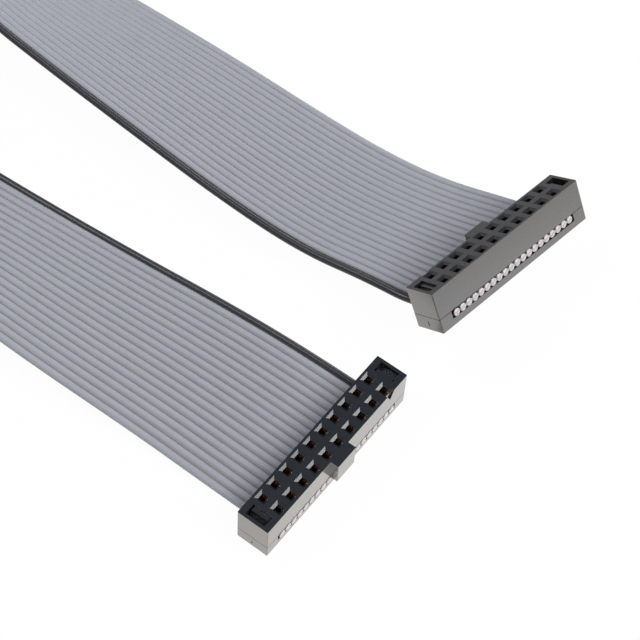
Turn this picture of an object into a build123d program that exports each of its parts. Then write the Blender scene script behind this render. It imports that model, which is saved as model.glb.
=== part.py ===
from build123d import *
import os
from math import asin, cos, degrees, hypot, radians, sin, tan

# A short ribbon cable with a twenty-way insulation-displacement socket on each end.
# Millimetres, +Z up. The origin is the centre of the underside of socket A, which lies flat.
# Each socket has a frame of its own: X along its length with contact 1 at +X, the polarising
# key on the -Y side, Z up from the underside of its cover, pin openings on top.

# Contact field and ribbon
PITCH = 2.0  # contact to contact, along a row and from row to row
COLUMNS = 10
WIRE_PITCH = 1.0  # one wire for every contact, from the two rows in turn
WIRE_DIAMETER = 0.9
WEB_THICKNESS = 0.3
CONDUCTOR_DIAMETER = 0.3
CONDUCTOR_BARE = 0.1  # how far a cut conductor stands out of its insulation
WIRE_STUB = 0.05  # how far the cut ribbon stands out of the socket
CONDUCTOR_REACH = 1.0  # how far a modelled conductor runs on into the free ribbon
ROD_SIDES = 8  # flat sides that stand for the round of a clamped wire or a conductor

# Socket body and cover. The wires' tops lie level with the seam between the two.
SOCKET_WIDTH = 3.9
BODY_HEIGHT = 3.25
COVER_HEIGHT = 1.8
CORNER_RADIUS = 0.1
COVER_EDGE = 0.08
SEAM_GAP = 0.06  # height of the shadow line round the seam
SEAM_DEPTH = 0.25
TROUGH_ROOM = 0.2  # beside the ribbon, at each end of its trough
MOUTH_DEPTH = 0.25  # how far the trough's flat mouth goes in before its grooves begin
MOUTH_ROOM = 0.06  # below the wires in that mouth
GATE_WIDTH = 0.16  # scar of the mould's gate on each end of the cover
GATE_HEIGHT = 0.6
GATE_DEPTH = 0.05

# Polarising key and contact 1 mark
KEY_LENGTH = 3.0
KEY_DEPTH = 1.0
KEY_ABOVE_SEAM = 0.25
KEY_EDGE = 0.08
MARK_BASE = 1.25
MARK_HEIGHT = 1.2
MARK_DEPTH = 0.2

# Pin openings and contact chambers
FUNNEL_WIDTH = 1.28
FUNNEL_DEPTH = 0.25
ENTRY_WIDTH = 0.7
ENTRY_DEPTH = 0.45  # from the top face down to the chamber
CHAMBER_LENGTH = 1.3
CHAMBER_WIDTH = 1.2
SHOULDER_ROOM = 0.65  # height of the wider pocket at the seam, where the blade steps sideways

# Latch legs on the cover and their slots in the body
LEG_THICKNESS = 0.5
LEG_WIDTH = 2.1
LEG_RECESS = 0.25  # from the top face down to the tip of the leg
LEG_CLEARANCE = 0.05
BARB_DEPTH = 0.45
BARB_HEIGHT = 0.6
BARB_TIP = 0.2  # from the tip of the leg down to where the barb begins
THROAT_ROOM = 0.25  # beside the leg, below the ledge
MOUTH_SLACK = 0.3  # beyond the barb, above the ledge
SLOT_SIDE = 0.15  # at each side of the leg
SLOT_RIB = 0.25  # wall between the last blade's pocket and the slot
SLOT_WALL = 0.4  # end wall of the body

# Stamped contacts
SHEET = 0.2
LEAF_WIDTH = 0.7
LEAF_ROOT_GAP = 0.7
LEAF_PINCH_GAP = 0.34
LEAF_MOUTH_GAP = 0.62
LEAF_ROOM = 0.1  # between the tops of the leaves and the roof of the chamber
LEAF_TIP = 0.6  # from the tops of the leaves down to where they pinch
BLADE_WIDTH = 0.9
BLADE_SLOT = 0.32
BLADE_REACH = 0.15  # how far the blade's points pass below the wires
BLADE_POINT = 0.25
SHOULDER_HEIGHT = 0.25
POCKET_ROOM = 0.05

# Where socket B lies: the centre of its underside and its turns, in degrees
SOCKET_B_CENTRE = (29.05, -2.65, 5.8)
SOCKET_B_YAW = -7.3
SOCKET_B_ROLL = 3.9
SOCKET_B_TILT = 30.9

# The free ribbon's middle line, from socket A to socket B, chosen by hand: x, y, z and the
# bank in degrees, by which the outer edge is raised. The two ends are added from the sockets.
LEAD_A = 6.0
LEAD_B = 4.0
ROUTE = [
    (-0.2, 18.0, 1.4, 3.2),
    (-1.3, 32.0, 2.1, 8.7),
    (-2.1, 46.0, 3.2, 14.2),
    (-3.4, 60.0, 1.7, 0.5),
    (-5.0, 73.0, 4.0, -20.0),
    (-6.6, 85.0, 6.8, -39.0),
    (-8.5, 97.0, 9.2, -60.0),
    (-8.2, 109.5, 10.3, -78.0),
    (-1.8, 120.2, 10.4, -87.0),
    (12.0, 125.0, 10.2, -88.0),
    (24.6, 120.0, 10.4, -87.0),
    (30.6, 108.0, 10.5, -77.0),
    (30.7, 95.0, 9.5, -61.0),
    (29.1, 81.0, 7.0, -41.0),
    (28.5, 67.0, 4.6, -23.5),
    (28.6, 53.0, 3.6, -17.0),
    (28.6, 40.0, 2.8, -12.6),
    (28.2, 28.0, 2.5, -10.2),
    (28.4, 18.0, 2.2, -8.9),
    (29.4, 10.0, 2.6, -10.2),
]
BEND_SHARE = 0.45  # of the shorter run, for the arc at each corner
STATIONS = 72

WIRES = 2 * COLUMNS
SOCKET_HEIGHT = COVER_HEIGHT + BODY_HEIGHT
WIRE_Z = COVER_HEIGHT - WIRE_DIAMETER / 2
OUTER_WIRE = (WIRES - 1) * WIRE_PITCH / 2
RIBBON_HALF = OUTER_WIRE + WIRE_DIAMETER / 2
MARKER_EDGE = OUTER_WIRE - WIRE_PITCH / 2
BLADE_HALF = BLADE_WIDTH / 2 + POCKET_ROOM
BLADE_TIP = WIRE_Z - WIRE_DIAMETER / 2 - BLADE_REACH
SLOT_INNER = OUTER_WIRE + BLADE_HALF + SLOT_RIB
SLOT_THROAT = SLOT_INNER + LEG_CLEARANCE + LEG_THICKNESS + THROAT_ROOM
SLOT_OUTER = SLOT_INNER + LEG_CLEARANCE + LEG_THICKNESS + BARB_DEPTH + MOUTH_SLACK
SOCKET_LENGTH = 2 * (SLOT_OUTER + SLOT_WALL)
LEG_TIP = SOCKET_HEIGHT - LEG_RECESS
BARB_BASE = LEG_TIP - BARB_TIP - BARB_HEIGHT
CONTACTS = [(column, row) for column in range(COLUMNS) for row in (-1, 1)]


def block(x, y, z):
    """A box from its (low, high) pairs."""
    size = [high - low for low, high in (x, y, z)]
    return Pos(x[0], y[0], z[0]) * Box(*size, align=(Align.MIN, Align.MIN, Align.MIN))


def contact_x(column):
    """Columns count from contact 1, at the +X end."""
    return ((COLUMNS - 1) / 2 - column) * PITCH


def wire_x(column, row):
    """The wire that a contact pierces: row -1 has the odd wires, row +1 the even ones."""
    return contact_x(column) - row * WIRE_PITCH / 2


def socket_body():
    """The moulded upper half: pin openings, chambers, latch slots, key and contact 1 mark."""
    shell = Pos(0, 0, COVER_HEIGHT) * Box(
        SOCKET_LENGTH, SOCKET_WIDTH, BODY_HEIGHT, align=(Align.CENTER, Align.CENTER, Align.MIN)
    )
    shell = fillet(shell.edges().filter_by(Axis.Z), CORNER_RADIUS)
    key = block(
        (-KEY_LENGTH / 2, KEY_LENGTH / 2),
        (-SOCKET_WIDTH / 2 - KEY_DEPTH, -SOCKET_WIDTH / 2 + CORNER_RADIUS),
        (COVER_HEIGHT + KEY_ABOVE_SEAM, SOCKET_HEIGHT),
    )
    key = fillet(key.edges().filter_by(Axis.Z).group_by(Axis.Y)[0], KEY_EDGE)
    shell = shell + key
    cutters = [pin_opening(column, row) for column, row in CONTACTS]
    cutters += [latch_slot(side) for side in (-1, 1)] + [mark_cutter()]
    return shell - cutters


def pin_opening(column, row):
    """One funnel, its square entry, the contact chamber and the wider pocket at the seam."""
    x = contact_x(column)
    y = row * PITCH / 2
    mouth = Pos(x, y, SOCKET_HEIGHT) * Rectangle(FUNNEL_WIDTH, FUNNEL_WIDTH)
    throat = Pos(x, y, SOCKET_HEIGHT - FUNNEL_DEPTH) * Rectangle(ENTRY_WIDTH, ENTRY_WIDTH)
    funnel = loft([throat, mouth], ruled=True)
    half = ENTRY_WIDTH / 2
    entry = block(
        (x - half, x + half),
        (y - half, y + half),
        (SOCKET_HEIGHT - ENTRY_DEPTH, SOCKET_HEIGHT - FUNNEL_DEPTH),
    )
    chamber = block(
        (x - CHAMBER_LENGTH / 2, x + CHAMBER_LENGTH / 2),
        (y - CHAMBER_WIDTH / 2, y + CHAMBER_WIDTH / 2),
        (COVER_HEIGHT, SOCKET_HEIGHT - ENTRY_DEPTH),
    )
    middle = wire_x(column, row)
    pocket = block(
        (min(middle - BLADE_HALF, x - CHAMBER_LENGTH / 2), max(middle + BLADE_HALF, x + CHAMBER_LENGTH / 2)),
        (y - CHAMBER_WIDTH / 2, y + CHAMBER_WIDTH / 2),
        (COVER_HEIGHT, COVER_HEIGHT + SHOULDER_ROOM),
    )
    return funnel + entry + chamber + pocket


def latch_slot(side):
    """The slot at one end, narrow below the ledge that the leg's barb hooks over."""
    across = (-LEG_WIDTH / 2 - SLOT_SIDE, LEG_WIDTH / 2 + SLOT_SIDE)
    throat = block((SLOT_INNER, SLOT_THROAT), across, (COVER_HEIGHT, SOCKET_HEIGHT))
    mouth = block((SLOT_INNER, SLOT_OUTER), across, (BARB_BASE - LEG_CLEARANCE, SOCKET_HEIGHT))
    slot = throat + mouth
    return slot if side > 0 else mirror(slot, about=Plane.YZ)


def mark_cutter():
    """The triangular recess beside contact 1, at the top of the key's side."""
    middle = contact_x(0)
    top = SOCKET_HEIGHT
    triangle = Polygon(
        (middle - MARK_BASE / 2, top),
        (middle, top - MARK_HEIGHT),
        (middle + MARK_BASE / 2, top),
        align=None,
    )
    face = Plane.XZ.offset(SOCKET_WIDTH / 2) * triangle
    return extrude(face, -MARK_DEPTH, dir=(0, -1, 0))


def socket_cover():
    """The clamping lower half: wire grooves, pockets for the blades, and two latch legs."""
    cover = Box(SOCKET_LENGTH, SOCKET_WIDTH, COVER_HEIGHT, align=(Align.CENTER, Align.CENTER, Align.MIN))
    cover = fillet(cover.edges().filter_by(Axis.Z), CORNER_RADIUS)
    cover = chamfer(cover.faces().sort_by(Axis.Z)[0].edges(), COVER_EDGE)
    depth = SOCKET_WIDTH / 2
    across = (-RIBBON_HALF - TROUGH_ROOM, RIBBON_HALF + TROUGH_ROOM)
    trough = block(across, (-depth, depth), (WIRE_Z - WEB_THICKNESS / 2, COVER_HEIGHT))
    mouth_floor = WIRE_Z - WIRE_DIAMETER / 2 - MOUTH_ROOM
    mouths = [
        block(across, (depth - MOUTH_DEPTH, depth), (mouth_floor, COVER_HEIGHT)),
        block(across, (-depth, MOUTH_DEPTH - depth), (mouth_floor, COVER_HEIGHT)),
    ]
    grooves = [wire_rod(wire, WIRE_DIAMETER, -depth, depth) for wire in range(WIRES)]
    pockets = [blade_pocket(column, row) for column, row in CONTACTS]
    gates = [gate_scar(side) for side in (-1, 1)]
    cover = cover - ([trough] + mouths + grooves + pockets + gates + [seam_gap()])
    return cover + [latch_leg(side) for side in (-1, 1)]


def seam_gap():
    """The thin gap that runs round the outside of the seam."""
    level = COVER_HEIGHT - SEAM_GAP / 2
    whole = Pos(0, 0, level) * Box(SOCKET_LENGTH, SOCKET_WIDTH, SEAM_GAP)
    core = Pos(0, 0, level) * Box(SOCKET_LENGTH - 2 * SEAM_DEPTH, SOCKET_WIDTH - 2 * SEAM_DEPTH, SEAM_GAP)
    return whole - core


def gate_scar(side):
    """The small upright scar of the mould's gate, in the middle of one end of the cover."""
    end = side * SOCKET_LENGTH / 2
    middle = (COVER_HEIGHT - SEAM_GAP) / 2
    return block(
        sorted((end - side * GATE_DEPTH, end)),
        (-GATE_WIDTH / 2, GATE_WIDTH / 2),
        (middle - GATE_HEIGHT / 2, middle + GATE_HEIGHT / 2),
    )


def wire_rod(wire, diameter, start, end):
    """A bar along Y at one wire's place. Wire 0 is the marker wire, at +X."""
    x = OUTER_WIRE - wire * WIRE_PITCH
    section = RegularPolygon(diameter / 2, ROD_SIDES, major_radius=False, rotation=180 / ROD_SIDES)
    return extrude(Plane.XZ.offset(-start) * Pos(x, WIRE_Z) * section, end - start, dir=(0, 1, 0))


def blade_pocket(column, row):
    """Room in the cover for one blade's points."""
    x = wire_x(column, row)
    y = row * PITCH / 2
    depth = SHEET / 2 + POCKET_ROOM
    return block((x - BLADE_HALF, x + BLADE_HALF), (y - depth, y + depth), (BLADE_TIP - POCKET_ROOM, WIRE_Z))


def latch_leg(side):
    """One leg of the cover with the barb that hooks over the body's ledge."""
    inner = SLOT_INNER + LEG_CLEARANCE
    outer = inner + LEG_THICKNESS
    outline = Polygon(
        (inner, WIRE_Z),
        (outer, WIRE_Z),
        (outer, BARB_BASE),
        (outer + BARB_DEPTH, BARB_BASE),
        (outer, BARB_BASE + BARB_HEIGHT),
        (outer, LEG_TIP),
        (inner, LEG_TIP),
        align=None,
    )
    leg = extrude(Plane.XZ * outline, LEG_WIDTH / 2, both=True)
    return leg if side > 0 else mirror(leg, about=Plane.YZ)


def contact(column, row):
    """A stamped contact: two leaves that pinch a pin, a shoulder, and a slotted blade."""
    x = contact_x(column)
    middle = wire_x(column, row)
    y = row * PITCH / 2
    seam = COVER_HEIGHT
    leaves = [contact_leaf(x, seam, side) for side in (-1, 1)]
    base = Polygon(
        (x - LEAF_ROOT_GAP / 2 - SHEET, seam),
        (x + LEAF_ROOT_GAP / 2 + SHEET, seam),
        (x + LEAF_ROOT_GAP / 2 + SHEET, seam + SHOULDER_HEIGHT),
        (x - LEAF_ROOT_GAP / 2 - SHEET, seam + SHOULDER_HEIGHT),
        align=None,
    )
    fork = extrude(Plane.XZ * (leaves[0] + leaves[1] + base), LEAF_WIDTH / 2, both=True)
    shoulder = block(
        (middle - BLADE_WIDTH / 2, middle + BLADE_WIDTH / 2),
        (-SHEET / 2, SHEET / 2),
        (seam, seam + SHOULDER_HEIGHT),
    )
    tines = [blade_tine(middle, side) for side in (-1, 1)]
    return Pos(0, y, 0) * (fork + [shoulder] + tines)


def contact_leaf(x, seam, side):
    """The bowed outline of one leaf, on the given side of the pin."""
    root = LEAF_ROOT_GAP / 2
    pinch = LEAF_PINCH_GAP / 2
    mouth = LEAF_MOUTH_GAP / 2
    top = BODY_HEIGHT - ENTRY_DEPTH - LEAF_ROOM
    heights = (SHOULDER_HEIGHT, top - LEAF_TIP, top)
    inner = list(zip((root, pinch, mouth), heights))
    outline = inner + [(gap + SHEET, height) for gap, height in reversed(inner)]
    return Polygon(*[(x + side * gap, seam + height) for gap, height in outline], align=None)


def blade_tine(middle, side):
    """One point of the slotted blade, on the given side of its wire."""
    inner = BLADE_SLOT / 2
    outer = BLADE_WIDTH / 2
    outline = (
        (inner, COVER_HEIGHT),
        (outer, COVER_HEIGHT),
        (outer, BLADE_TIP + BLADE_POINT),
        (outer - BLADE_POINT, BLADE_TIP),
        (inner, BLADE_TIP + BLADE_POINT),
    )
    tine = Polygon(*[(middle + side * across, height) for across, height in outline], align=None)
    return extrude(Plane.XZ * tine, SHEET / 2, both=True)


def blade_windows():
    """The two cuts that each blade makes in the insulation, one each side of its wire."""
    cuts = []
    for column, row in CONTACTS:
        x = wire_x(column, row)
        y = row * PITCH / 2
        for side in (-1, 1):
            edges = sorted((x + side * BLADE_SLOT / 2, x + side * BLADE_WIDTH / 2))
            cuts.append(block(edges, (y - SHEET / 2, y + SHEET / 2), (0, COVER_HEIGHT)))
    return cuts


def ribbon_end(wires, side):
    """The clamped end of some of the wires, leaving the socket on its +Y or -Y side."""
    near = side * SOCKET_WIDTH / 2
    far = -side * (SOCKET_WIDTH / 2 + WIRE_STUB)
    start, end = sorted((near, far))
    rods = [wire_rod(wire, WIRE_DIAMETER, start, end) for wire in wires]
    if len(wires) == 1:
        return rods[0] - blade_windows()
    right = OUTER_WIRE - wires[0] * WIRE_PITCH
    left = OUTER_WIRE - wires[-1] * WIRE_PITCH
    web = block((left, right), (start, end), (WIRE_Z - WEB_THICKNESS / 2, WIRE_Z + WEB_THICKNESS / 2))
    return (rods[0] + rods[1:] + web) - blade_windows()


def conductors(side):
    """Twenty tinned conductors, from their cut ends to just inside the free ribbon."""
    near = side * (SOCKET_WIDTH / 2 + CONDUCTOR_REACH)
    far = -side * (SOCKET_WIDTH / 2 + WIRE_STUB + CONDUCTOR_BARE)
    start, end = sorted((near, far))
    return [wire_rod(wire, CONDUCTOR_DIAMETER, start, end) for wire in range(WIRES)]


def ribbon_exit(place, side):
    """The middle of the ribbon where it leaves a socket on its +Y or -Y side, and its direction."""
    start = (place * Pos(0, side * SOCKET_WIDTH / 2, WIRE_Z)).position
    middle = (place * Pos(0, 0, WIRE_Z)).position
    return start, (start - middle).normalized()


def middle_line(place_a, place_b):
    """The ribbon's middle line as runs joined by arcs, and the bank at each of its points."""
    start, out_a = ribbon_exit(place_a, 1)
    end, out_b = ribbon_exit(place_b, -1)
    width_b = ((place_b * Pos(-RIBBON_HALF, 0, 0)).position - place_b.position).normalized()
    bank_b = degrees(asin(width_b.Z / hypot(out_b.X, out_b.Y)))
    points = [start, start + out_a * LEAD_A] + [Vector(x, y, z) for x, y, z, _ in ROUTE]
    points += [end + out_b * LEAD_B, end]
    banks = [0.0, 0.0] + [bank for *_, bank in ROUTE] + [bank_b, bank_b]
    runs = [(b - a).length for a, b in zip(points, points[1:])]
    radii = []
    for i in range(1, len(points) - 1):
        turn = (points[i] - points[i - 1]).get_angle(points[i + 1] - points[i])
        radii.append(BEND_SHARE * min(runs[i - 1], runs[i]) / tan(radians(turn / 2)))
    path = FilletPolyline(*points, radius=radii)
    reached = [sum(runs[:i]) / sum(runs) for i in range(len(points))]
    return path, radii, reached, banks


def bank_at(share, reached, banks):
    """The bank at a share of the ribbon's length, in a straight line between the points."""
    for i in range(len(reached) - 1):
        if share <= reached[i + 1]:
            part = (share - reached[i]) / (reached[i + 1] - reached[i])
            return banks[i] + part * (banks[i + 1] - banks[i])
    return banks[-1]


def free_ribbon(path, reached, banks, low, high):
    """The free ribbon between two distances from its middle line, as a plain flat strip."""
    sections = []
    for i in range(STATIONS + 1):
        share = i / STATIONS
        middle = path @ share
        ahead = (path % share).normalized()
        level = Vector(0, 0, 1).cross(ahead).normalized()
        bank = radians(bank_at(share, reached, banks))
        outer = level * cos(bank) + ahead.cross(level) * sin(bank)
        top = ahead.cross(outer)
        corners = [
            middle + outer * across + top * up
            for across, up in (
                (low, -WIRE_DIAMETER / 2),
                (high, -WIRE_DIAMETER / 2),
                (high, WIRE_DIAMETER / 2),
                (low, WIRE_DIAMETER / 2),
            )
        ]
        sections.append(Face(Wire.make_polygon(corners, close=True)))
    return loft(sections, ruled=True)


def save(node, shape):
    shape.label = node
    export_step(shape, os.path.join("parts", node + ".step"))


os.makedirs("parts", exist_ok=True)

place_a = Location((0, 0, 0))
place_b = (
    Location(SOCKET_B_CENTRE)
    * Rot(0, 0, SOCKET_B_YAW)
    * Rot(0, SOCKET_B_ROLL, 0)
    * Rot(-SOCKET_B_TILT, 0, 0)
    * Rot(0, 0, 180)
)
body = socket_body()
cover = socket_cover()
contacts = [contact(column, row) for column, row in CONTACTS]

path, radii, reached, banks = middle_line(place_a, place_b)
print("ribbon length", round(path.length, 1), "radii", [round(radius, 1) for radius in radii])

insulation = free_ribbon(path, reached, banks, -MARKER_EDGE, RIBBON_HALF)
marker = free_ribbon(path, reached, banks, -RIBBON_HALF, -MARKER_EDGE)
for name, strip, width in (
    ("insulation", insulation, RIBBON_HALF + MARKER_EDGE),
    ("marker", marker, RIBBON_HALF - MARKER_EDGE),
):
    print(name, "volume over section times length", strip.volume / (path.length * width * WIRE_DIAMETER))

for name, place, side in (("socket_a", place_a, 1), ("socket_b", place_b, -1)):
    wires = conductors(side)
    insulation = insulation + place * ribbon_end(range(1, WIRES), side)
    marker = marker + place * ribbon_end(range(0, 1), side)
    insulation = insulation - [place * wire for wire in wires[1:]]
    marker = marker - place * wires[0]
    save(name + "_housing", place * body)
    save(name + "_cover", place * cover)
    save(name + "_conductors", Compound([place * wire for wire in wires]))
    for number, piece in enumerate(contacts, 1):
        save(f"{name}_contact_{number:02d}", place * piece)

save("ribbon_insulation", insulation)
save("marker_wire_insulation", marker)
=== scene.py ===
import math

import bmesh
import bpy
from mathutils import Euler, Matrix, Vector


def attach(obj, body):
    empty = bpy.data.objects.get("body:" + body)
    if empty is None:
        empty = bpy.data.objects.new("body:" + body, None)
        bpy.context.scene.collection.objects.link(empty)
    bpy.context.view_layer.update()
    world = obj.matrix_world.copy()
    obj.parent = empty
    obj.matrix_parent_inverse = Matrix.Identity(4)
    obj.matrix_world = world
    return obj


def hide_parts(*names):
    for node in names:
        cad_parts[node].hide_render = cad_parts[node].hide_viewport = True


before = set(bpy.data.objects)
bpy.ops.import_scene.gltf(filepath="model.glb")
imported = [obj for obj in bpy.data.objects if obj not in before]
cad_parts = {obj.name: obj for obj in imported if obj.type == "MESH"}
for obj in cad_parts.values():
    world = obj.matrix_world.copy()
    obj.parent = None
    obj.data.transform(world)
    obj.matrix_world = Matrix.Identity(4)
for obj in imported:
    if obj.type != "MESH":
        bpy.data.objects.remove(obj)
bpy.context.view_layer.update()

# The camera. It looks down on the two sockets from the free side of socket A, which lies flat,
# with a long lens, so the two strands of ribbon run out of the frame to the left.
MM = 0.001
CAMERA_AT = (-83.0 * MM, -53.4 * MM, 174.8 * MM)
CAMERA_TURN = (33.74, -2.43, -52.79)
CAMERA_LENS = 106.9
SENSOR_WIDTH = 36.0
NEAREST_SEEN = 0.005
FARTHEST_SEEN = 10.0

lens = bpy.data.cameras.new("camera")
lens.lens = CAMERA_LENS
lens.sensor_width = SENSOR_WIDTH
lens.clip_start = NEAREST_SEEN
lens.clip_end = FARTHEST_SEEN
camera = bpy.data.objects.new("camera", lens)
camera.location = CAMERA_AT
camera.rotation_euler = Euler([math.radians(a) for a in CAMERA_TURN])
bpy.context.scene.collection.objects.link(camera)
bpy.context.scene.camera = camera

# The ribbon. Twenty round PVC-covered wires are extruded side by side with thin webs between
# them, all grey but the dark first one. The webs between the grey wires carry painted shade:
# they are coloured darker than the wires. It is cut square, clamped flat in socket A, turned
# back on itself standing on its plain outer edge, and clamped again in socket B.
WIRES = 20
WIRE_PITCH = 1.0 * MM
WIRE_RADIUS = 0.45 * MM
WEB_HALF = 0.15 * MM
WEB_MATCH = 0.001 * WEB_HALF
WIRE_HEIGHT = 1.35 * MM
SOCKET_HALF_WIDTH = 1.95 * MM
WIRE_STUB = 0.02 * MM
SOCKET_B_CENTRE = Vector((29.05, -2.65, 5.8)) * MM
SOCKET_B_TURNS = ((-7.3, "Z"), (3.9, "Y"), (-30.9, "X"))
LEAD_A = 6.0 * MM
LEAD_B = 4.0 * MM

# Points that steer the route from socket A to socket B: x, y and z in millimetres, and the
# bank of the ribbon in degrees. The turn lies in the middle of the list.
ROUTE_MM = [
    (-0.2, 18.0, 1.4, 3.2),
    (-1.3, 32.0, 2.1, 8.7),
    (-2.1, 46.0, 3.1, 15.0),
    (-3.4, 60.0, 1.6, 3.0),
    (-5.0, 73.0, 4.0, -20.0),
    (-6.6, 85.0, 6.8, -39.0),
    (-8.5, 97.0, 9.2, -60.0),
    (-8.2, 109.5, 10.3, -78.0),
    (-1.8, 120.2, 10.4, -87.0),
    (12.0, 125.0, 10.2, -88.0),
    (24.6, 120.0, 10.4, -87.0),
    (30.5, 108.0, 10.5, -77.0),
    (30.4, 95.0, 9.5, -61.0),
    (28.8, 81.0, 7.0, -41.0),
    (28.2, 67.0, 4.6, -23.5),
    (28.3, 53.0, 3.6, -17.0),
    (28.3, 40.0, 2.8, -12.6),
    (27.9, 28.0, 2.5, -10.2),
    (28.1, 18.0, 2.2, -8.9),
    (29.1, 10.0, 2.6, -10.2),
]
SPLINE_STEPS = 10
ARC_STEPS = 6

socket_b_turn = Euler((0, 0, 0)).to_matrix()
for turn, about in SOCKET_B_TURNS:
    socket_b_turn = socket_b_turn @ Euler(
        [math.radians(turn) if about == axis else 0 for axis in "XYZ"]
    ).to_matrix()


def on_socket_b(x, y, z):
    """A point of socket B, with the ribbon leaving it along its own +Y here."""
    return SOCKET_B_CENTRE + socket_b_turn @ Vector((x, y, z))


def smooth_line(name, points):
    """Points read from the smooth spline that the given points control."""
    curve = bpy.data.curves.new(name, "CURVE")
    curve.dimensions = "3D"
    spline = curve.splines.new("NURBS")
    spline.points.add(len(points) - 1)
    for place, point in zip(spline.points, points):
        place.co = (*point, 1)
    spline.order_u = 3
    spline.use_endpoint_u = True
    spline.resolution_u = SPLINE_STEPS
    holder = bpy.data.objects.new(name, curve)
    bpy.context.scene.collection.objects.link(holder)
    mesh = bpy.data.meshes.new_from_object(holder)
    line = [Vector(v.co) for v in mesh.vertices]
    bpy.data.objects.remove(holder)
    bpy.data.curves.remove(curve)
    bpy.data.meshes.remove(mesh)
    return line


def heading_at(line, i):
    """The direction in which a line of points runs at one of them."""
    before = line[max(i - 1, 0)]
    after = line[min(i + 1, len(line) - 1)]
    return (after - before).normalized()


def outward(ahead, bank):
    """The direction across the ribbon towards its outer edge, raised by the bank."""
    level = Vector((0, 0, 1)).cross(ahead).normalized()
    return level * math.cos(bank) + ahead.cross(level) * math.sin(bank)


exit_a = Vector((0, SOCKET_HALF_WIDTH, WIRE_HEIGHT))
exit_b = on_socket_b(0, SOCKET_HALF_WIDTH, WIRE_HEIGHT)
out_a = Vector((0, 1, 0))
out_b = socket_b_turn @ Vector((0, 1, 0))
route = [exit_a, exit_a + out_a * LEAD_A] + [Vector(p[:3]) * MM for p in ROUTE_MM]
route += [exit_b + out_b * LEAD_B, exit_b]
width_b = socket_b_turn @ Vector((1, 0, 0))
bank_b = math.degrees(math.asin(width_b.z / math.hypot(out_b.x, out_b.y)))
banks = [0.0, 0.0] + [p[3] for p in ROUTE_MM] + [bank_b, bank_b]

ribbon_half = WIRE_PITCH * (WIRES - 1) / 2
outer_route = []
for i, point in enumerate(route):
    sideways = outward(heading_at(route, i), math.radians(banks[i]))
    outer_route.append(point + sideways * ribbon_half)
middle_line = smooth_line("middle_line", route)
outer_line = smooth_line("outer_line", outer_route)

# Every station along the ribbon has a middle, a direction across and a direction up.
stations = []
for i, middle in enumerate(middle_line):
    ahead = heading_at(middle_line, i)
    across = outer_line[i] - middle
    across = (across - ahead * across.dot(ahead)).normalized()
    stations.append((middle, across, ahead.cross(across)))
clamped = 2 * SOCKET_HALF_WIDTH + WIRE_STUB
first, last = stations[0], stations[-1]
stations = (
    [(first[0] - out_a * clamped, first[1], first[2])]
    + stations
    + [(last[0] - out_b * clamped, last[1], last[2])]
)


def wire_place(wire):
    """How far a wire lies from the ribbon's middle, towards the outer edge. Wire 0 is the dark one."""
    return (wire - (WIRES - 1) / 2) * WIRE_PITCH


def lobed_outline(wires, tab=0.0):
    """The closed outline of some joined wires. A tab of web may run on from the last one."""
    low = math.asin(WEB_HALF / WIRE_RADIUS)
    top = []
    for wire in wires:
        start = 0.0 if wire == wires[0] else low
        end = math.pi if wire == wires[-1] and not tab else math.pi - low
        for step in range(ARC_STEPS + 1):
            angle = start + (end - start) * step / ARC_STEPS
            top.append((wire_place(wire) - math.cos(angle) * WIRE_RADIUS, math.sin(angle) * WIRE_RADIUS))
    if tab:
        top.append((top[-1][0] + tab, WEB_HALF))
    bottom = [(across, -up) for across, up in reversed(top[1:] if tab else top[1:-1])]
    return top + bottom


def on_web(point):
    """Whether a point of the outline lies on the flat of a web."""
    return abs(abs(point[1]) - WEB_HALF) < WEB_MATCH


def turn_outwards(mesh):
    """Turns the faces of a closed skin outwards and keeps a crease where two materials meet."""
    shape = bmesh.new()
    shape.from_mesh(mesh)
    bmesh.ops.recalc_face_normals(shape, faces=shape.faces)
    for edge in shape.edges:
        edge.smooth = len({face.material_index for face in edge.link_faces}) == 1
    shape.to_mesh(mesh)
    shape.free()


def add_piece(name, mesh, node):
    """Puts one piece on the part's body, in the place of a node of the CAD."""
    piece = bpy.data.objects.new(name, mesh)
    bpy.context.scene.collection.objects.link(piece)
    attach(piece, "root")
    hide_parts(node)
    return piece


def extrude_outline(name, node, outline, materials):
    """One skin of the ribbon: the outline carried through every station, closed at both ends."""
    count = len(outline)
    corners = []
    for middle, across, up in stations:
        corners += [middle + across * a + up * b for a, b in outline]
    faces = []
    webs = []
    for ring in range(len(stations) - 1):
        for i in range(count):
            j = (i + 1) % count
            base = ring * count
            faces.append((base + i, base + count + i, base + count + j, base + j))
            webs.append(on_web(outline[i]) and on_web(outline[j]))
    faces.append(tuple(range(count)))
    faces.append(tuple(reversed(range(len(corners) - count, len(corners)))))
    mesh = bpy.data.meshes.new(name)
    mesh.from_pydata(corners, [], faces)
    for material in materials:
        mesh.materials.append(material)
    # Faces on a web take the second material, which on the ribbon is the painted shade of the grooves.
    for face, web in zip(mesh.polygons, webs):
        face.material_index = 1 if web else 0
    turn_outwards(mesh)
    for face in mesh.polygons:
        face.use_smooth = len(face.vertices) == 4
    return add_piece(name, mesh, node)


# How every finish is built up from its own values: the drift in its colour is so many grains
# wide, its dullness varies by a share, and a coat is smoother than the skin under it.
DRIFT_GRAINS = 12
DRIFT_DETAIL = 4.0
DRIFT_STOPS = (0.3, 0.7)
GRAIN_DETAIL = 3.0
GRAIN_DEPTH = 0.2
DULL_LEAST = 0.85
DULL_MOST = 1.15
COAT_SMOOTHER = 0.6
COAT_IOR = 1.6


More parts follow.
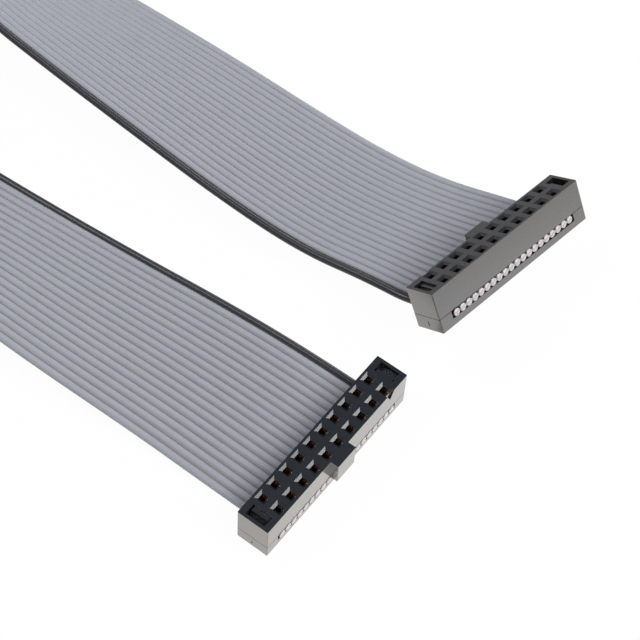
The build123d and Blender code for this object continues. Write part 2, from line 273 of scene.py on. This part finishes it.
def finish_material(name, colour, roughness, grain, bump, spread, metallic=0.0, ior=1.5, coat=0.0):
    """A finish with a fine grain in its surface and a slow drift in its colour."""
    material = bpy.data.materials.new(name)
    material.use_nodes = True
    nodes, links = material.node_tree.nodes, material.node_tree.links
    shader = nodes["Principled BSDF"]
    shader.inputs["Metallic"].default_value = metallic
    shader.inputs["IOR"].default_value = ior
    shader.inputs["Coat Weight"].default_value = coat
    shader.inputs["Coat Roughness"].default_value = roughness * COAT_SMOOTHER
    shader.inputs["Coat IOR"].default_value = COAT_IOR
    place = nodes.new("ShaderNodeTexCoord")
    drift = nodes.new("ShaderNodeTexNoise")
    drift.inputs["Scale"].default_value = 1 / (DRIFT_GRAINS * grain)
    drift.inputs["Detail"].default_value = DRIFT_DETAIL
    links.new(place.outputs["Object"], drift.inputs["Vector"])
    tone = nodes.new("ShaderNodeValToRGB")
    for stop, at, share in zip(tone.color_ramp.elements, DRIFT_STOPS, (1 - spread, 1 + spread)):
        stop.position = at
        stop.color = (*[c * share for c in colour], 1)
    links.new(drift.outputs["Fac"], tone.inputs["Fac"])
    links.new(tone.outputs["Color"], shader.inputs["Base Color"])
    fine = nodes.new("ShaderNodeTexNoise")
    fine.inputs["Scale"].default_value = 1 / grain
    fine.inputs["Detail"].default_value = GRAIN_DETAIL
    links.new(place.outputs["Object"], fine.inputs["Vector"])
    dull = nodes.new("ShaderNodeMapRange")
    dull.inputs["To Min"].default_value = roughness * DULL_LEAST
    dull.inputs["To Max"].default_value = roughness * DULL_MOST
    links.new(fine.outputs["Fac"], dull.inputs["Value"])
    links.new(dull.outputs["Result"], shader.inputs["Roughness"])
    relief = nodes.new("ShaderNodeBump")
    relief.inputs["Strength"].default_value = bump
    relief.inputs["Distance"].default_value = grain * GRAIN_DEPTH
    links.new(fine.outputs["Fac"], relief.inputs["Height"])
    links.new(relief.outputs["Normal"], shader.inputs["Normal"])
    return material


PVC_GRAIN = 0.15 * MM
grey_pvc = finish_material(
    "grey_pvc", colour=(0.375, 0.386, 0.423), roughness=0.42, grain=PVC_GRAIN, bump=0.15, spread=0.02
)
# Painted shade in the grooves: the webs between the grey wires are coloured darker than the wires.
groove_shade_pvc = finish_material(
    "groove_shade_pvc", colour=(0.22, 0.205, 0.20), roughness=0.6, grain=PVC_GRAIN, bump=0.1, spread=0.05
)
dark_pvc = finish_material(
    "dark_pvc", colour=(0.045, 0.044, 0.049), roughness=0.24, grain=PVC_GRAIN, bump=0.15, spread=0.05
)

web_width = WIRE_PITCH - 2 * math.sqrt(WIRE_RADIUS**2 - WEB_HALF**2)
ribbon = extrude_outline(
    "ribbon", "ribbon_insulation", lobed_outline(range(1, WIRES)), (grey_pvc, groove_shade_pvc)
)
marker_wire = extrude_outline(
    "marker_wire", "marker_wire_insulation", lobed_outline([0], web_width), (dark_pvc, dark_pvc)
)

# The sockets. Each is a black glass-filled plastic housing moulded in two halves, which snap
# together over the ribbon. Their skin is glossy under a very fine grain.
black_moulding = finish_material(
    "black_moulding",
    colour=(0.012, 0.0125, 0.0135),
    roughness=0.22,
    grain=0.06 * MM,
    bump=0.01,
    spread=0.15,
    ior=2.2,
    coat=1.0,
)
for name in ("socket_a_housing", "socket_a_cover", "socket_b_housing", "socket_b_cover"):
    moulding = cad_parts[name]
    moulding.data.materials.clear()
    moulding.data.materials.append(black_moulding)

# The contacts. They are stamped from thin copper alloy strip and plated with gold, and glint
# at the bottom of the pin openings.
gold_plate = finish_material(
    "gold_plate",
    colour=(0.6, 0.23, 0.10),
    roughness=0.34,
    grain=0.08 * MM,
    bump=0.1,
    spread=0.05,
    metallic=1.0,
)
for name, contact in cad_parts.items():
    if "_contact_" in name:
        contact.data.materials.clear()
        contact.data.materials.append(gold_plate)

# The cut ends of the wires. The shear leaves each strand and its cover as a rounded button
# that stands a little out of the seam on the side away from the ribbon. Their pale pinkish colour
# is partly the bright tinned strand and partly a painted highlight on the grey cover.
BUTTON_RADIUS = WIRE_RADIUS
BUTTON_HEIGHT = 0.1 * MM
BUTTON_RINGS = 6
BUTTON_SIDES = 24

# Painted highlight: the ends' pale colour is partly the tinned strand and partly a highlight painted on
# the grey cover.
cut_end_and_highlight = finish_material(
    "cut_end_and_highlight", colour=(0.49, 0.43, 0.435), roughness=0.15, grain=0.05 * MM, bump=0.1, spread=0.03, coat=1.0
)


def wire_buttons(name, node, station, outwards):
    """Twenty rounded ends on one cut edge of the ribbon, in one mesh."""
    middle, across, up = station
    corners = []
    faces = []
    for wire in range(WIRES):
        centre = middle + across * wire_place(wire)
        start = len(corners)
        for ring in range(BUTTON_RINGS):
            lift = ring / BUTTON_RINGS * math.pi / 2
            for side in range(BUTTON_SIDES):
                angle = side / BUTTON_SIDES * 2 * math.pi
                corners.append(
                    centre
                    + (across * math.cos(angle) + up * math.sin(angle)) * BUTTON_RADIUS * math.cos(lift)
                    + outwards * BUTTON_HEIGHT * math.sin(lift)
                )
        corners.append(centre + outwards * BUTTON_HEIGHT)
        tip = len(corners) - 1
        for ring in range(BUTTON_RINGS - 1):
            for side in range(BUTTON_SIDES):
                a = start + ring * BUTTON_SIDES + side
                b = start + ring * BUTTON_SIDES + (side + 1) % BUTTON_SIDES
                faces.append((a, b, b + BUTTON_SIDES, a + BUTTON_SIDES))
        top = start + (BUTTON_RINGS - 1) * BUTTON_SIDES
        for side in range(BUTTON_SIDES):
            faces.append((top + side, top + (side + 1) % BUTTON_SIDES, tip))
        faces.append(tuple(reversed(range(start, start + BUTTON_SIDES))))
    mesh = bpy.data.meshes.new(name)
    mesh.from_pydata(corners, [], faces)
    mesh.materials.append(cut_end_and_highlight)
    turn_outwards(mesh)
    for face in mesh.polygons:
        face.use_smooth = len(face.vertices) < BUTTON_SIDES
    return add_piece(name, mesh, node)


wire_buttons("wire_ends_a", "socket_a_conductors", stations[0], -out_a)
wire_buttons("wire_ends_b", "socket_b_conductors", stations[-1], -out_b)

# The surroundings. A white sheet fills the view and keeps a faint shadow where the object
# touches it. Reflections see it tinted, and fading with the distance from its middle. Four
# soft lamps stand round it under a dim sky.
FLOOR_HALF = 3.0
FLOOR_CENTRE = (0.02, -0.04, 0)
PAPER_WHITE = (0.9, 0.9, 0.9, 1)
SEEN_SHARE = 0.97
SEEN_STRENGTH = 1.0
MIRRORED_SHARE = 0.95
MIRRORED_STRENGTH = 1.16
MIRRORED_REACH = 0.15
MIRRORED_TINTS = ((0.2, (0.97, 0.96, 1.0)), (0.28, (0.9, 0.87, 0.83)), (1.0, (0.25, 0.24, 0.23)))
SKY_TINTS = ((0.0, (0.24, 0.235, 0.24)), (0.6, (0.06, 0.075, 0.10)))
LAMP_AIM = Vector((0.01, 0.02, 0.0))


def set_stops(ramp, tints):
    """Gives the stops of a colour ramp their places and colours."""
    for place, tint in tints[1:-1]:
        ramp.elements.new(place)
    for stop, (place, tint) in zip(ramp.elements, tints):
        stop.position = place
        stop.color = (*tint, 1)


floor_mesh = bpy.data.meshes.new("floor")
floor_mesh.from_pydata(
    [(x * FLOOR_HALF, y * FLOOR_HALF, 0) for x, y in ((-1, -1), (1, -1), (1, 1), (-1, 1))],
    [],
    [(0, 1, 2, 3)],
)
floor = bpy.data.objects.new("floor", floor_mesh)
floor.location = FLOOR_CENTRE
bpy.context.scene.collection.objects.link(floor)

paper = bpy.data.materials.new("paper")
paper.use_nodes = True
nodes, links = paper.node_tree.nodes, paper.node_tree.links
nodes.remove(nodes["Principled BSDF"])
matt = nodes.new("ShaderNodeBsdfDiffuse")
matt.inputs["Color"].default_value = PAPER_WHITE
rays = nodes.new("ShaderNodeLightPath")
reach = nodes.new("ShaderNodeTexCoord")
far = nodes.new("ShaderNodeVectorMath")
far.operation = "LENGTH"
links.new(reach.outputs["Object"], far.inputs[0])
fade = nodes.new("ShaderNodeMapRange")
fade.inputs["From Max"].default_value = MIRRORED_REACH
links.new(far.outputs["Value"], fade.inputs["Value"])
mirrored = nodes.new("ShaderNodeValToRGB")
set_stops(mirrored.color_ramp, MIRRORED_TINTS)
links.new(fade.outputs["Result"], mirrored.inputs["Fac"])


def glow_for(ray, share, strength, below, tint=None):
    """The floor's light for one kind of ray, white or tinted, laid over the shader below it."""
    glow = nodes.new("ShaderNodeEmission")
    glow.inputs["Strength"].default_value = strength
    if tint:
        links.new(tint, glow.inputs["Color"])
    part = nodes.new("ShaderNodeMath")
    part.operation = "MULTIPLY"
    part.inputs[1].default_value = share
    links.new(rays.outputs[ray], part.inputs[0])
    blend = nodes.new("ShaderNodeMixShader")
    links.new(part.outputs["Value"], blend.inputs["Fac"])
    links.new(below.outputs[0], blend.inputs[1])
    links.new(glow.outputs["Emission"], blend.inputs[2])
    return blend


seen = glow_for("Is Camera Ray", SEEN_SHARE, SEEN_STRENGTH, matt)
both = glow_for("Is Glossy Ray", MIRRORED_SHARE, MIRRORED_STRENGTH, seen, mirrored.outputs["Color"])
links.new(both.outputs[0], nodes["Material Output"].inputs["Surface"])
floor_mesh.materials.append(paper)

world = bpy.data.worlds.new("world")
world.use_nodes = True
nodes, links = world.node_tree.nodes, world.node_tree.links
heading = nodes.new("ShaderNodeTexCoord")
height = nodes.new("ShaderNodeSeparateXYZ")
links.new(heading.outputs["Generated"], height.inputs["Vector"])
shade = nodes.new("ShaderNodeValToRGB")
set_stops(shade.color_ramp, SKY_TINTS)
links.new(height.outputs["Z"], shade.inputs["Fac"])
links.new(shade.outputs["Color"], nodes["Background"].inputs["Color"])
bpy.context.scene.world = world


def soft_lamp(name, heading, distance, width, height, radiance):
    """A flat soft lamp of a given brightness that faces the object from one direction."""
    lamp = bpy.data.lights.new(name, "AREA")
    lamp.shape = "RECTANGLE"
    lamp.size = width
    lamp.size_y = height
    lamp.energy = radiance * math.pi * width * height
    holder = bpy.data.objects.new(name, lamp)
    holder.location = LAMP_AIM + Vector(heading).normalized() * distance
    holder.rotation_euler = (LAMP_AIM - holder.location).to_track_quat("-Z", "Y").to_euler()
    bpy.context.scene.collection.objects.link(holder)


soft_lamp("front_lamp", heading=(0.05, -0.62, 0.78), distance=1.0, width=0.6, height=0.6, radiance=6.2)
soft_lamp("back_lamp", heading=(-0.2, 0.6, 0.8), distance=1.0, width=0.6, height=0.6, radiance=3.7)
soft_lamp("right_lamp", heading=(0.85, 0.27, 0.45), distance=1.0, width=0.3, height=0.3, radiance=4.0)
soft_lamp("side_lamp", heading=(0.46, -0.86, 0.22), distance=0.9, width=0.8, height=0.34, radiance=2.9)

bpy.context.scene.view_settings.view_transform = "Standard"
